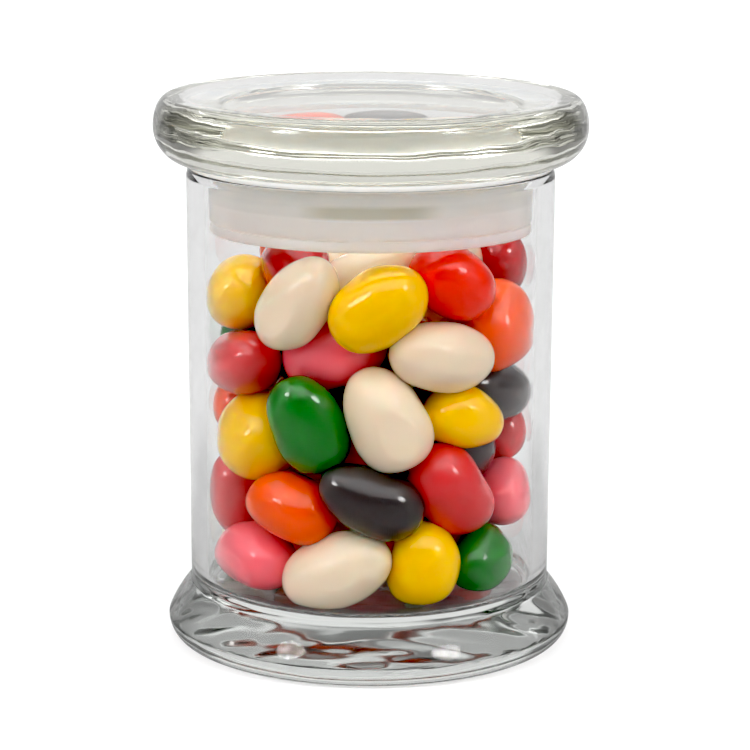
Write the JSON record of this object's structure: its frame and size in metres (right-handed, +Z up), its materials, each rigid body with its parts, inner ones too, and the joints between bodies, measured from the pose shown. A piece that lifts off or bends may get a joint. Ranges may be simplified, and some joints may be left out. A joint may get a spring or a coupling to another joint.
{
  "type": "jar of jelly beans",
  "caption": "Round clear glass sweet jar on a flared foot, full of mixed egg-shaped jelly beans, closed by a thick flat glass lid in a white plastic seal.",
  "frame": {"origin": "middle of the foot's underside", "axes": "+Z up along the jar's axis, -Y towards the viewer"},
  "size_m": [0.089, 0.089, 0.1134],
  "materials": {
    "jar_glass": "clear, polished",
    "lid_glass": "clear, polished",
    "seal_plastic": "milky, slightly see-through",
    "bean_shell": "semi-gloss sugar shell in mixed colours"
  },
  "bodies": {
    "root": {"jar": "jar_glass", "lid": "lid_glass", "lid_seal": "seal_plastic", "jelly_beans": "bean_shell"}
  },
  "joints": []
}
